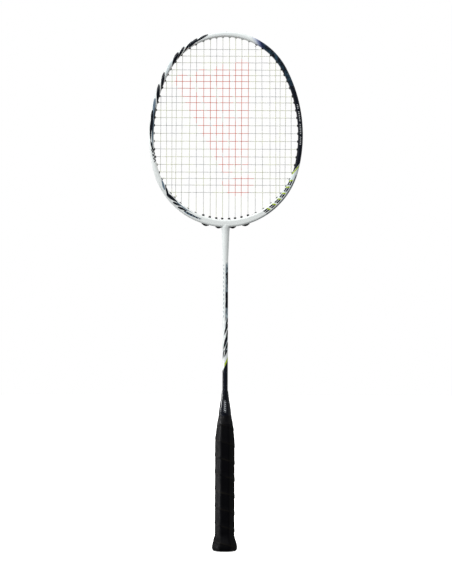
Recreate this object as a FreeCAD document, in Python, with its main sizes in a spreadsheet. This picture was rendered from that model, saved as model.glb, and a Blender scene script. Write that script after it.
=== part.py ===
"""Badminton racket: hollow hoop, throat joint, shaft, wrapped wooden handle and a woven string bed.

Millimetres. Origin on the flat end of the butt, +Z from the butt to the top of the hoop,
+X across the hoop, Y normal to the string bed.
"""
import FreeCAD, Part
import math
import os

import Sketcher
from FreeCAD import Placement, Rotation, Vector

NODE_DIR = "parts"
FULL_TURN = 360.0
Y_AXIS = Vector(0, 1, 0)
Z_AXIS = Vector(0, 0, 1)

DIMENSIONS = (
    # hoop
    ("head_top", 675.0, "top of the hoop above the butt end, the racket's length"),
    ("head_wide", 540.4, "level of the hoop's widest point"),
    ("head_bottom", 421.2, "underside of the throat"),
    ("head_half_width", 100.0, "half the hoop's outer width"),
    ("head_side_radius", 186.3, "radius of the hoop's side arcs"),
    ("hoop_depth", 10.4, "hoop section, across the string bed"),
    ("rim_side", 6.3, "hoop section in the string plane, at the sides"),
    ("rim_top", 6.7, "the same at the top"),
    ("rim_throat", 9.7, "the same at the throat"),
    ("hoop_round", 2.7, "rounding of the hoop's edges"),
    ("hoop_wall", 1.1, "wall of the hollow hoop"),
    ("groove_depth", 1.6, "string groove round the outside"),
    ("groove_width", 4.3, "string groove round the outside"),
    ("groove_end_x", 36.0, "the groove stops this far from the middle of the throat"),
    # throat joint and shaft
    ("shaft_radius", 3.5, "shaft tube, outside"),
    ("shaft_bore", 2.4, "shaft tube, inside radius"),
    ("shaft_foot", 62.0, "lower end of the shaft inside the handle"),
    ("shaft_top", 378.0, "joint between shaft and throat cone"),
    ("cone_top_radius", 4.9, "throat cone just under its flare"),
    ("cone_flare_level", 414.0, "start of the flare into the hoop"),
    ("cone_flare_radius", 5.6, "throat cone where it meets the hoop"),
    ("spigot_length", 30.0, "throat joint's spigot inside the shaft"),
    ("stub_radius", 2.2, "throat joint's stub inside the hoop"),
    ("stub_top", 426.5, "end of that stub"),
    # handle
    ("grip_width", 25.4, "wrapped handle across the face"),
    ("grip_depth", 23.4, "wrapped handle front to back"),
    ("grip_bevel", 7.2, "width and height of the handle's corner bevels"),
    ("grip_wall", 1.7, "thickness of the wrapped grip"),
    ("grip_foot", 0.6, "lower edge of the grip"),
    ("grip_shoulder", 142.0, "end of the handle's full section"),
    ("grip_top", 166.0, "top edge of the grip"),
    ("grip_top_width", 20.5, "grip across its top edge"),
    ("flare_start", 23.0, "start of the butt flare"),
    ("flare_level", 5.0, "level of the widest point of the butt"),
    ("flare_width", 33.0, "butt across its widest point"),
    ("butt_width", 27.0, "grip across its lower edge"),
    ("foot_round", 1.6, "rounding of the grip's lower edge"),
    ("cap_foot", 150.0, "lower edge of the cone cap, under the grip"),
    ("cap_band", 176.7, "top edge of the finishing tape"),
    ("cap_top", 209.0, "upper end of the cone cap"),
    ("cap_top_radius", 3.9, "cone cap at its upper end"),
    ("cap_band_radius", 8.35, "cone cap at the finishing tape"),
    ("cap_foot_radius", 9.2, "cone cap at its lower edge"),
    ("cap_wall", 1.1, "cone cap wall"),
    ("tape_thickness", 0.2, "finishing tape"),
    ("core_top", 199.0, "upper end of the wooden core, inside the cone cap"),
    ("end_bore", 6.0, "lightening bore in the butt, radius"),
    ("end_bore_top", 50.0, "depth of that bore above the butt end"),
    ("butt_plate", 2.6, "thickness of the butt cap's plate"),
    ("butt_plate_width", 23.0, "butt cap across the face"),
    ("butt_chamfer", 0.7, "edge of the butt cap's plate"),
    ("butt_plug_top", 11.7, "upper end of the butt cap's plug in the bore"),
    # strings and grommets
    ("string_radius", 0.34, "string section"),
    ("weave_gap", 0.04, "clearance where two strings cross"),
    ("bend_radius", 1.0, "string bends at the grommets"),
    ("weave_radius", 2.5, "string bend over a crossing string"),
    ("grommet_bore", 1.05, "grommet, inside radius"),
    ("grommet_radius", 1.6, "grommet barrel, outside radius"),
    ("grommet_proud", 1.0, "barrel standing out of the hoop's inner face"),
    ("throat_proud", 2.2, "the same for the throat saddles' barrels"),
    ("flange_radius", 2.05, "grommet flange in the string groove"),
    ("flange_thickness", 0.5, "grommet flange"),
    ("mouth_gap", 0.8, "string bend beyond the barrel's end"),
    ("share_distance", 5.0, "string ends nearer than this share one hole"),
    ("throat_exit_1", 6.9, "first throat hole's outer end from the axis, clear of the cone"),
    ("throat_exit_2", 11.8, "second throat hole's outer end"),
    ("throat_exit_3", 23.2, "third throat hole's outer end"),
    ("throat_exit_4", 29.6, "fourth throat hole's outer end"),
    ("saddle_height", 2.3, "throat saddle above the hoop"),
    ("saddle_width", 4.4, "throat saddle front to back"),
    ("saddle_end", 1.4, "saddle beyond its two holes"),
    ("saddle_floor", 0.9, "saddle's string channel above the hoop"),
    ("channel_width", 1.1, "saddle's string channel"),
    ("string_lift", 0.12, "string above the flange or channel it lies on"),
    ("knot_radius", 0.8, "tie-off knot"),
    ("knot_length", 1.8, "tie-off knot"),
    ("knot_tail", 0.7, "cut end of the string beyond its knot"),
    ("knot_stand", 1.3, "string from the grommet's mouth to its knot"),
    ("knot_lean", 0.45, "how far a knot leans into the bed, for each millimetre out of it"),
    # tack under the grip
    ("tack_level", 30.0, "tack above the butt end"),
    ("tack_head", 2.2, "tack head, radius"),
    ("tack_head_thickness", 0.5, "tack head"),
    ("tack_shank", 0.5, "tack shank, radius"),
    ("tack_length", 3.5, "tack shank"),
)

# Distance of each main string from the axis, and level of each cross string.
MAIN_X = (4.3, 12.3, 20.4, 29.0, 38.4, 48.0, 57.7, 65.2, 71.3, 77.3, 85.0)
CROSS_Z = (653.3, 644.4, 636.0, 627.2, 618.2, 609.7, 601.5, 592.1, 582.8, 572.8, 563.2,
           553.1, 542.9, 532.7, 522.6, 512.5, 502.5, 492.3, 484.3, 475.0, 464.7)
THROAT_MAINS = 4

# The strings are tied off where another string already passes.
MAIN_TIE = ("cross", 18)
CROSS_TIE_FIRST = ("main_top", 4)
CROSS_TIE_LAST = ("main_low", 7)

# The most of a string's straight run that one of its bends may use up.
WEAVE_SHARE = 0.25
BEND_SHARE = 0.48

doc = FreeCAD.newDocument("badminton_racket")
nodes = []


def make_sheet():
    """The driving dimensions, one row each: alias, value, what it is."""
    sheet = doc.addObject("Spreadsheet::Sheet", "Dims")
    for row, (alias, value, note) in enumerate(DIMENSIONS, 1):
        sheet.set(f"A{row}", alias)
        sheet.set(f"B{row}", str(value))
        sheet.setAlias(f"B{row}", alias)
        sheet.set(f"C{row}", note)
    doc.recompute()
    return sheet


sheet = make_sheet()


def dim(alias):
    return float(sheet.get(alias))


# ---------------------------------------------------------------- document helpers

def new_body(name):
    body = doc.addObject("PartDesign::Body", name)
    body.Label = name
    return body


def new_sketch(body, plane, name):
    sketch = body.newObject("Sketcher::SketchObject", name)
    origin = next(f for f in body.Origin.OriginFeatures if f.Role == plane)
    sketch.AttachmentSupport = [(origin, "")]
    sketch.MapMode = "FlatFace"
    return sketch


def value_of(expression):
    """The number that a sheet expression gives now."""
    return float(sheet.evalExpression(expression))


def polygon(sketch, points):
    """A closed polygon whose corners are pairs of expressions."""
    corners = [Vector(value_of(a), value_of(b), 0) for a, b in points]
    count = len(points)
    for i in range(count):
        sketch.addGeometry(Part.LineSegment(corners[i], corners[(i + 1) % count]), False)
    for i in range(count):
        sketch.addConstraint(Sketcher.Constraint("Coincident", i, 2, (i + 1) % count, 1))
    for i, (across, up) in enumerate(points):
        corner = corners[i]
        for kind, value, text in (("DistanceX", corner.x, across), ("DistanceY", corner.y, up)):
            number = sketch.addConstraint(Sketcher.Constraint(kind, -1, 1, i, 1, value))
            sketch.setExpression(f"Constraints[{number}]", text)


def revolved(name, profile):
    """A PartDesign body turned about the racket's axis from (radius, level) corners."""
    body = new_body(name)
    sketch = new_sketch(body, "XZ_Plane", name + "_profile")
    polygon(sketch, profile)
    turn = body.newObject("PartDesign::Revolution", name + "_turn")
    turn.Profile = sketch
    turn.ReferenceAxis = (sketch, ["V_Axis"])
    turn.Angle = FULL_TURN
    body.Tip = turn
    return body


def feature(name, shape):
    part = doc.addObject("Part::Feature", name)
    part.Label = name
    part.Shape = shape
    return part


def cut(name, base, tool):
    part = doc.addObject("Part::Cut", name)
    part.Label = name
    part.Base = base
    part.Tool = tool
    return part


def node(part):
    nodes.append(part)
    return part


# ---------------------------------------------------------------- hoop outlines

class Outline:
    """A closed curve of four tangent arcs: top, two sides and throat."""

    def __init__(self, half_width, side_radius, top, wide, bottom):
        self.side_radius = side_radius
        self.side = Vector(half_width - side_radius, 0, wide)
        above = top - wide
        below = wide - bottom
        reach = side_radius ** 2 - self.side.x ** 2
        self.top_radius = (reach - above ** 2) / (2 * (side_radius - above))
        self.low_radius = (reach - below ** 2) / (2 * (side_radius - below))
        self.top = Vector(0, 0, top - self.top_radius)
        self.low = Vector(0, 0, bottom + self.low_radius)
        self.top_joint = self.side + (self.top - self.side).normalize() * side_radius
        self.low_joint = self.side + (self.low - self.side).normalize() * side_radius

    def inset(self, distance):
        return Outline(self.side.x + self.side_radius - distance, self.side_radius - distance,
                       self.top.z + self.top_radius - distance, self.side.z,
                       self.low.z - self.low_radius + distance)

    def arc_at(self, level):
        """Centre and radius of the right-hand arc at a level."""
        if level >= self.top_joint.z:
            return self.top, self.top_radius
        if level <= self.low_joint.z:
            return self.low, self.low_radius
        return self.side, self.side_radius

    def at_level(self, level):
        centre, radius = self.arc_at(level)
        return Vector(centre.x + math.sqrt(radius ** 2 - (level - centre.z) ** 2), 0, level)

    def at_distance(self, across, upper):
        """The right-hand point at a distance from the axis, above or below the widest level."""
        sign = 1 if upper else -1
        joint = self.top_joint if upper else self.low_joint
        centre, radius = self.side, self.side_radius
        if across <= joint.x:
            centre, radius = (self.top, self.top_radius) if upper else (self.low, self.low_radius)
        rise = math.sqrt(radius ** 2 - (across - centre.x) ** 2)
        return Vector(across, 0, centre.z + sign * rise)

    def normal(self, point):
        return (point - self.arc_at(point.z)[0]).normalize()

    def hit(self, start, direction):
        """Where a ray from inside the right half leaves the curve."""
        arcs = ((self.top, self.top_radius), (self.side, self.side_radius),
                (self.low, self.low_radius))
        for centre, radius in arcs:
            offset = start - centre
            along = offset.dot(direction)
            inside = along ** 2 - offset.dot(offset) + radius ** 2
            if inside < 0:
                continue
            point = start + direction * (math.sqrt(inside) - along)
            if self.arc_at(point.z)[0] == centre:
                return point
        raise ValueError("ray misses the outline")


outer = Outline(dim("head_half_width"), dim("head_side_radius"), dim("head_top"),
                dim("head_wide"), dim("head_bottom"))
inner = Outline(dim("head_half_width") - dim("rim_side"),
                dim("head_side_radius") - dim("rim_side"),
                dim("head_top") - dim("rim_top"), dim("head_wide"),
                dim("head_bottom") + dim("rim_throat"))


# ---------------------------------------------------------------- string holes

class Hole:
    """One drilled hole of the hoop: its axis in the string plane and what passes through."""

    def __init__(self, mouth, direction, strings):
        self.mouth = mouth
        self.direction = direction
        self.strings = strings
        self.tip = mouth + direction * dim("mouth_gap")
        self.surface = outer.hit(mouth, direction)

    def mirrored(self):
        """The same hole on the left half."""
        other = Hole.__new__(Hole)
        for key in ("mouth", "direction", "tip", "surface"):
            value = getattr(self, key)
            setattr(other, key, Vector(-value.x, value.y, value.z))
        other.strings = self.strings
        return other


def right_holes():
    """Holes of the right half in order from the top, near string ends sharing one hole."""
    mouth_line = inner.inset(dim("grommet_proud") + dim("mouth_gap"))
    ends = [(mouth_line.at_distance(x, True), ("main_top", i)) for i, x in enumerate(MAIN_X)]
    ends += [(mouth_line.at_distance(x, False), ("main_low", i)) for i, x in enumerate(MAIN_X)]
    ends += [(mouth_line.at_level(z), ("cross", i)) for i, z in enumerate(CROSS_Z)]
    middle = Vector(0, 0, dim("head_wide"))
    ends.sort(key=lambda end: math.atan2(end[0].x, end[0].z - middle.z))
    groups = [[ends[0]]]
    for end in ends[1:]:
        if end[0].distanceToPoint(groups[-1][-1][0]) < dim("share_distance"):
            groups[-1].append(end)
        else:
            groups.append([end])
    holes = []
    for group in groups:
        mean = Vector(0, 0, 0)
        for point, _ in group:
            mean += point * (1 / len(group))
        mouth = mouth_line.hit(middle, (mean - middle).normalize())
        direction = mouth_line.normal(mouth)
        names = [name for _, name in group]
        kind, number = names[0]
        if kind == "main_low" and number < THROAT_MAINS:
            target = outer.at_distance(dim(f"throat_exit_{number + 1}"), False)
            direction = (target - mouth).normalize()
            mouth -= direction * (dim("throat_proud") - dim("grommet_proud"))
        holes.append(Hole(mouth, direction, names))
    return holes


RIGHT = right_holes()
LEFT = [hole.mirrored() for hole in RIGHT]


def hole_index(kind, number):
    """The hole that one string end passes through."""
    return next(i for i, hole in enumerate(RIGHT) if (kind, number) in hole.strings)


THROAT = tuple(hole_index("main_low", i) for i in range(THROAT_MAINS))


def side_holes(sign):
    return RIGHT if sign > 0 else LEFT


# ---------------------------------------------------------------- string routes

MAIN_Y = dim("string_radius") + dim("weave_gap") / 2
CROSS_Y = -MAIN_Y
WEAVE_STEP = 2 * dim("string_radius") + dim("weave_gap")


def raised(point, height):
    return Vector(point.x, height, point.z)


def outer_bend(hole, index):
    """The string's corner outside a hole: in the groove, or on a saddle at the throat."""
    if index in THROAT:
        rise = dim("saddle_floor") + dim("string_radius") + dim("string_lift")
    else:
        rise = (dim("string_radius") + dim("flange_thickness") + dim("string_lift")
                - dim("groove_depth"))
    return hole.surface + hole.direction * rise


def loop(side, start, end, height):
    """Corners of a string that leaves one hole and comes back through another."""
    step = 1 if end > start else -1
    corners = [side[start].mouth]
    corners += [outer_bend(side[i], i) for i in range(start, end + step, step)]
    corners.append(side[end].mouth)
    return [(raised(corner, height), dim("bend_radius")) for corner in corners]


def knot_tail(hole, height):
    """The string's last corner, where its knot begins, lifted clear of its neighbours."""
    sign = 1 if height > 0 else -1
    lean = (Y_AXIS * sign - hole.direction * dim("knot_lean")).normalize()
    return raised(hole.mouth, height) + lean * dim("knot_stand"), lean


def main_route(sign):
    """Half of the main string, from the middle of the hoop's top to its knot."""
    side = side_holes(sign)
    top = [hole_index("main_top", i) for i in range(len(MAIN_X))]
    low = [hole_index("main_low", i) for i in range(len(MAIN_X))]
    route = [(raised(outer_bend(side[top[0]], top[0]), MAIN_Y), dim("bend_radius")),
             (raised(side[top[0]].mouth, MAIN_Y), dim("bend_radius"))]
    for number in range(0, len(MAIN_X) - 1, 2):
        route += loop(side, low[number], low[number + 1], MAIN_Y)
        route += loop(side, top[number + 1], top[number + 2], MAIN_Y)
    tie_off = hole_index(*MAIN_TIE)
    route += loop(side, low[-1], tie_off, MAIN_Y)
    route.append((knot_tail(side[tie_off], MAIN_Y)[0], dim("bend_radius")))
    return route


def main_at(number, sign, level):
    """Distance of a main string from the axis at a level, or None past its ends."""
    side = side_holes(sign)
    top = side[hole_index("main_top", number)].mouth
    low = side[hole_index("main_low", number)].mouth
    if not low.z < level < top.z:
        return None
    share = (level - low.z) / (top.z - low.z)
    return low.x + (top.x - low.x) * share


def woven_run(cross, sign):
    """Corners of one cross string over and under the mains, starting from side `sign`."""
    level = RIGHT[hole_index("cross", cross)].mouth.z
    shared = RIGHT[hole_index("cross", cross)].strings
    columns = [(-1, i) for i in reversed(range(len(MAIN_X)))]
    columns += [(1, i) for i in range(len(MAIN_X))]
    corners = []
    for column, (half, number) in enumerate(columns):
        across = main_at(number, half, level)
        joined = ("main_top", number) in shared or ("main_low", number) in shared
        if across is None or joined:
            continue
        over = 1 if (column + cross) % 2 else -1
        corners.append([Vector(across, MAIN_Y + over * WEAVE_STEP, level), over])
    if sign > 0:
        corners.reverse()
    return corners


def half_turn(before, corner, after):
    return (corner - before).getAngle(after - corner) / 2


def lifted(before, corner, after, over):
    """Move a crossing's corner out, so that the rounded string still clears the main string."""
    turn = half_turn(before, corner, after)
    reach = min((corner - before).Length, (after - corner).Length) * WEAVE_SHARE
    radius = min(dim("weave_radius"), reach / math.tan(turn))
    extra = radius * (1 / math.cos(turn) - 1)
    return Vector(corner.x, corner.y + over * extra, corner.z), radius


def cross_route():
    """The whole cross string: first knot, every woven run and loop, last knot."""
    holes = [hole_index("cross", i) for i in range(len(CROSS_Z))]
    first_tie = hole_index(*CROSS_TIE_FIRST)
    last_tie = hole_index(*CROSS_TIE_LAST)
    route = [(knot_tail(RIGHT[first_tie], CROSS_Y)[0], dim("bend_radius"))]
    route += loop(RIGHT, first_tie, holes[0], CROSS_Y)
    sign = 1
    for cross in range(len(CROSS_Z)):
        corners = woven_run(cross, sign)
        start = route[-1][0]
        end = raised(side_holes(-sign)[holes[cross]].mouth, CROSS_Y)
        places = [start] + [corner for corner, _ in corners] + [end]
        for i, (corner, over) in enumerate(corners, 1):
            route.append(lifted(places[i - 1], corner, places[i + 1], over))
        sign = -sign
        if cross < len(CROSS_Z) - 1:
            route += loop(side_holes(sign), holes[cross], holes[cross + 1], CROSS_Y)
    route += loop(LEFT, holes[-1], last_tie, CROSS_Y)
    route.append((knot_tail(LEFT[last_tie], CROSS_Y)[0], dim("bend_radius")))
    return route


def rounded_wire(route):
    """Straight runs joined by tangent arcs, each as large as asked or as its runs allow."""
    points = [point for point, _ in route]
    edges = []
    previous = points[0]
    for i in range(1, len(route) - 1):
        corner, radius = route[i]
        turn = half_turn(points[i - 1], corner, points[i + 1])
        into = (corner - points[i - 1]).normalize()
        out = (points[i + 1] - corner).normalize()
        shorter = min((corner - points[i - 1]).Length, (points[i + 1] - corner).Length)
        radius = min(radius, shorter * BEND_SHARE / math.tan(turn))
        trim = radius * math.tan(turn)
        start = corner - into * trim
        end = corner + out * trim
        middle = corner + (out - into).normalize() * (radius / math.cos(turn) - radius)
        edges.append(Part.LineSegment(previous, start).toShape())
        edges.append(Part.Arc(start, middle, end).toShape())
        previous = end
    edges.append(Part.LineSegment(previous, points[-1]).toShape())
    return Part.Wire(edges)


def string_solid(route):
    path = rounded_wire(route)
    start = route[0][0]
    profile = Part.Wire(Part.Circle(start, route[1][0] - start, dim("string_radius")).toShape())
    solid = path.makePipeShell([profile], True, False)
    expected = math.pi * dim("string_radius") ** 2 * path.Length
    print(f"string {path.Length:.0f} mm, volume {solid.Volume:.1f}, expected {expected:.1f}")
    return solid


def make_strings():
    left = main_route(-1)
    left.reverse()
    node(feature("main_string", string_solid(left + main_route(1))))
    node(feature("cross_string", string_solid(cross_route())))


def knot(hole, height):
    """A tight barrel of two turns with its cut tail, along the end of its string."""
    start, lean = knot_tail(hole, height)
    radius = dim("knot_radius")
    string = dim("string_radius")
    length = dim("knot_length")
    end = length + dim("knot_tail")
    waist = radius - string / 2
    profile = ((0, 0), (waist, 0), (radius, length / 4), (waist, length / 2),
               (radius, length * 3 / 4), (waist, length), (string, length),
               (string, end), (0, end))
    return turned(profile, start, lean)


def turned(profile, start, direction):
    """A solid of revolution: (radius, distance along) corners about a line."""
    corners = [Vector(radius, 0, along) for radius, along in profile]
    face = Part.Face(Part.makePolygon(corners + corners[:1]))
    solid = face.revolve(Vector(0, 0, 0), Z_AXIS, FULL_TURN)
    solid.Placement = Placement(start, Rotation(Z_AXIS, direction))
    return solid


def make_knots():
    tie = hole_index(*MAIN_TIE)
    mains = [knot(side[tie], MAIN_Y) for side in (RIGHT, LEFT)]
    node(feature("main_knots", Part.makeCompound(mains)))
    crosses = [knot(RIGHT[hole_index(*CROSS_TIE_FIRST)], CROSS_Y),
               knot(LEFT[hole_index(*CROSS_TIE_LAST)], CROSS_Y)]
    node(feature("cross_knots", Part.makeCompound(crosses)))


# ---------------------------------------------------------------- grommets and saddles

def barrel_length(hole):
    """From the barrel's tip to the underside of its flange."""
    return (hole.surface - hole.tip).Length - dim("groove_depth")


def grommet(hole):
    bore = dim("grommet_bore")
    radius = dim("grommet_radius")
    lead = (radius - bore) / 2
    seat = barrel_length(hole)
    top = seat + dim("flange_thickness")
    profile = ((bore, 0), (radius - lead, 0), (radius, lead), (radius, seat),
               (dim("flange_radius"), seat), (dim("flange_radius"), top), (bore + lead, top),
               (bore, top - lead))
    return turned(profile, hole.tip, hole.direction)


def drilling(hole, index):
    """The material that a grommet or a saddle's barrel takes out of the hoop."""
    radius = dim("grommet_radius")
    if index in THROAT:
        reach = (hole.surface - hole.tip).Length + dim("saddle_height")
        return Part.makeCylinder(radius, reach, hole.tip, hole.direction)
    seat = barrel_length(hole)
    barrel = Part.makeCylinder(radius, seat, hole.tip, hole.direction)
    place = hole.tip + hole.direction * seat
    flange = Part.makeCylinder(dim("flange_radius"), dim("groove_depth") * 2, place,
                               hole.direction)
    return barrel.fuse(flange)


def saddle(side, first, second, hoop_blank, joint):
    """A bridge over two neighbouring throat holes, with their two barrels and one channel."""
    one, two = side[first], side[second]
    along = (two.surface - one.surface).normalize()
    out = Vector(along.z, 0, -along.x)
    if out.z > 0:
        out = -out
    half = dim("saddle_width") / 2
    start = one.surface - along * dim("saddle_end")
    end = two.surface + along * dim("saddle_end")
    crown = (start + end) * 0.5 + out * dim("saddle_height")
    root = out * dim("saddle_height")
    arch = Part.Arc(start, crown, end).toShape()
    sides = Part.makePolygon([end, end - root, start - root, start])
    face = Part.Face(Part.Wire([arch] + sides.Edges))
    face.translate(Y_AXIS * -half)
    solid = face.extrude(Y_AXIS * (2 * half)).cut(hoop_blank)
    reach = dim("saddle_height") * 2
    for hole in (one, two):
        length = (hole.surface - hole.tip).Length
        barrel = Part.makeCylinder(dim("grommet_radius"), length + dim("saddle_floor"), hole.tip,
                                   hole.direction)
        solid = solid.fuse(barrel)
    for hole in (one, two):
        length = (hole.surface - hole.tip).Length + reach
        solid = solid.cut(Part.makeCylinder(dim("grommet_bore"), length, hole.tip,
                                            hole.direction))
    width = dim("channel_width")
    channel = Part.makeBox((two.surface - one.surface).Length, width, reach,
                           Vector(0, -width / 2, 0))
    floor = one.surface + out * dim("saddle_floor")
    channel.Placement = Placement(raised(floor, MAIN_Y), Rotation(along, Vector(), out, "ZXY"))
    solid = solid.cut([channel, joint])
    return max(solid.Solids, key=lambda piece: piece.Volume)


# Name, first hole and the hole after the last, counted from the top.
GROMMET_GROUPS = (("top", 0, 4), ("shoulder", 4, 10), ("side", 10, 23), ("lower", 23, 30))


def make_grommets():
    for group, first, last in GROMMET_GROUPS:
        sides = (("left", LEFT), ("right", RIGHT))
        if group == "top":
            rings = [grommet(hole) for _, side in sides for hole in side[first:last]]
            node(feature("grommets_top", Part.makeCompound(rings)))
            continue
        for name, side in sides:
            rings = [grommet(hole) for hole in side[first:last]]
            node(feature(f"grommets_{group}_{name}", Part.makeCompound(rings)))


def make_saddles(hoop_blank, joint):
    """The four saddles, shaped to the hoop and the throat joint that they sit against."""
    for name, side in (("left", LEFT), ("right", RIGHT)):
        for place, first in (("inner", 0), ("outer", 2)):
            shape = saddle(side, THROAT[first], THROAT[first + 1], hoop_blank, joint)
            node(feature(f"throat_saddle_{name}_{place}", shape))


# ---------------------------------------------------------------- hoop

FLAT = 0.001

OUTER_SIZES = ("Dims.head_half_width", "Dims.head_side_radius", "Dims.head_top",
               "Dims.head_bottom")
INNER_SIZES = ("Dims.head_half_width - Dims.rim_side", "Dims.head_side_radius - Dims.rim_side",
               "Dims.head_top - Dims.rim_top", "Dims.head_bottom + Dims.rim_throat")


def inset_sizes(sizes, distance):
    """The same outline moved inwards by a distance, all as sheet expressions."""
    half_width, radius, top, bottom = sizes
    return (f"{half_width} - ({distance})", f"{radius} - ({distance})",
            f"{top} - ({distance})", f"{bottom} + ({distance})")


def outline_sketch(body, name, sizes):
    """Four tangent arcs: top, right, throat, left."""
    half_width, radius, top, bottom = sizes
    side_x = f"({half_width} - ({radius}))"
    above = f"({top} - Dims.head_wide)"
    below = f"(Dims.head_wide - ({bottom}))"
    curve = Outline(value_of(half_width), value_of(radius), value_of(top), dim("head_wide"),
                    value_of(bottom))
    sketch = new_sketch(body, "XZ_Plane", name)

    def flat(point, sign=1):
        return Vector(sign * point.x, point.z, 0)

    def arc(centre, size, start, end):
        circle = Part.Circle(centre, Z_AXIS, size)
        angles = [math.atan2(p.y - centre.y, p.x - centre.x) for p in (start, end)]
        sketch.addGeometry(Part.ArcOfCircle(circle, *angles), False)

    arc(flat(curve.top), curve.top_radius, flat(curve.top_joint), flat(curve.top_joint, -1))
    arc(flat(curve.side, -1), curve.side_radius, flat(curve.top_joint, -1),
        flat(curve.low_joint, -1))
    arc(flat(curve.low), curve.low_radius, flat(curve.low_joint, -1), flat(curve.low_joint))
    arc(flat(curve.side), curve.side_radius, flat(curve.low_joint), flat(curve.top_joint))
    for number in range(4):
        sketch.addConstraint(Sketcher.Constraint("Tangent", number, 2, (number + 1) % 4, 1))
    bound = []
    for number, sign in ((1, -1), (3, 1)):
        bound.append((("Radius", number), curve.side_radius, radius))
        bound.append((("DistanceX", -1, 1, number, 3), sign * curve.side.x,
                      side_x if sign > 0 else f"-{side_x}"))
        bound.append((("DistanceY", -1, 1, number, 3), dim("head_wide"), "Dims.head_wide"))
    reach = f"(({radius}) ^ 2 - {side_x} ^ 2"
    bound.append((("Radius", 0), curve.top_radius,
                  f"{reach} - {above} ^ 2) / (2 * (({radius}) - {above}))"))
    bound.append((("Radius", 2), curve.low_radius,
                  f"{reach} - {below} ^ 2) / (2 * (({radius}) - {below}))"))
    for arguments, value, text in bound:
        index = sketch.addConstraint(Sketcher.Constraint(*arguments, value))
        sketch.setExpression(f"Constraints[{index}]", text)
    return sketch


def ring_body(name, outside, inside, depth, rounding=None):
    """A body between two outlines, or inside one, centred on the string plane."""
    body = new_body(name)
    pad = body.newObject("PartDesign::Pad", name + "_pad")
    pad.Profile = outline_sketch(body, name + "_outside", outside)
    pad.Midplane = True
    pad.setExpression("Length", depth)
    body.Tip = pad
    doc.recompute()
    if inside:
        pocket = body.newObject("PartDesign::Pocket", name + "_opening")
        pocket.Profile = outline_sketch(body, name + "_inside", inside)
        pocket.Midplane = True
        pocket.setExpression("Length", f"({depth}) * 2")
        body.Tip = pocket
        doc.recompute()
    if rounding:
        tip = body.Tip
        rims = [f"Edge{i}" for i, edge in enumerate(tip.Shape.Edges, 1)
                if edge.BoundBox.YLength < FLAT]
        fillet = body.newObject("PartDesign::Fillet", name + "_edges")
        fillet.Base = (tip, rims)
        fillet.setExpression("Radius", rounding)
        body.Tip = fillet
        doc.recompute()
    return body


def make_hoop():
    depth = "Dims.hoop_depth"
    blank = ring_body("hoop_section", OUTER_SIZES, INNER_SIZES, depth, "Dims.hoop_round")
    filled = ring_body("hoop_filled", OUTER_SIZES, None, depth, "Dims.hoop_round")
    cavity = ring_body("hoop_hollow", inset_sizes(OUTER_SIZES, "Dims.hoop_wall"),
                       inset_sizes(INNER_SIZES, "-Dims.hoop_wall"),
                       "Dims.hoop_depth - 2 * Dims.hoop_wall",
                       "Dims.hoop_round - Dims.hoop_wall")
    groove = ring_body("hoop_groove_ring", inset_sizes(OUTER_SIZES, "-Dims.groove_depth"),
                       inset_sizes(OUTER_SIZES, "Dims.groove_depth"), "Dims.groove_width")
    floor = ring_body("hoop_groove_wall",
                      inset_sizes(OUTER_SIZES, "-Dims.groove_depth"),
                      inset_sizes(OUTER_SIZES, "Dims.groove_depth + Dims.hoop_wall"),
                      "Dims.groove_width + 2 * Dims.hoop_wall")
    keep = doc.addObject("Part::Box", "throat_without_groove")
    keep.setExpression("Length", "2 * Dims.groove_end_x")
    keep.setExpression("Width", "2 * Dims.hoop_depth")
    keep.setExpression("Height", "Dims.groove_end_x")
    keep.setExpression("Placement.Base.x", "-Dims.groove_end_x")
    keep.setExpression("Placement.Base.y", "-Dims.hoop_depth")
    keep.setExpression("Placement.Base.z", "Dims.head_bottom - Dims.groove_end_x / 2")
    channel = cut("hoop_groove", groove, keep)
    backing = cut("hoop_groove_backing", floor, keep)
    hollow = cut("hoop_hollow_clear", cavity, backing)
    tube = cut("hoop_tube", blank, hollow)
    grooved = cut("hoop_grooved", tube, channel)
    doc.recompute()
    drills = [drilling(hole, i) for side in (LEFT, RIGHT) for i, hole in enumerate(side)]
    drill = feature("hoop_drilling", Part.makeCompound(drills))
    drilled = cut("hoop_drilled", grooved, drill)
    stub = doc.addObject("Part::Cylinder", "hoop_stub_hole")
    stub.setExpression("Radius", "Dims.stub_radius")
    stub.setExpression("Height", "Dims.stub_top - Dims.cone_flare_level")
    stub.setExpression("Placement.Base.z", "Dims.cone_flare_level")
    node(cut("head_frame", drilled, stub))
    doc.recompute()
    return filled


# ---------------------------------------------------------------- throat joint and shaft

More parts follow.
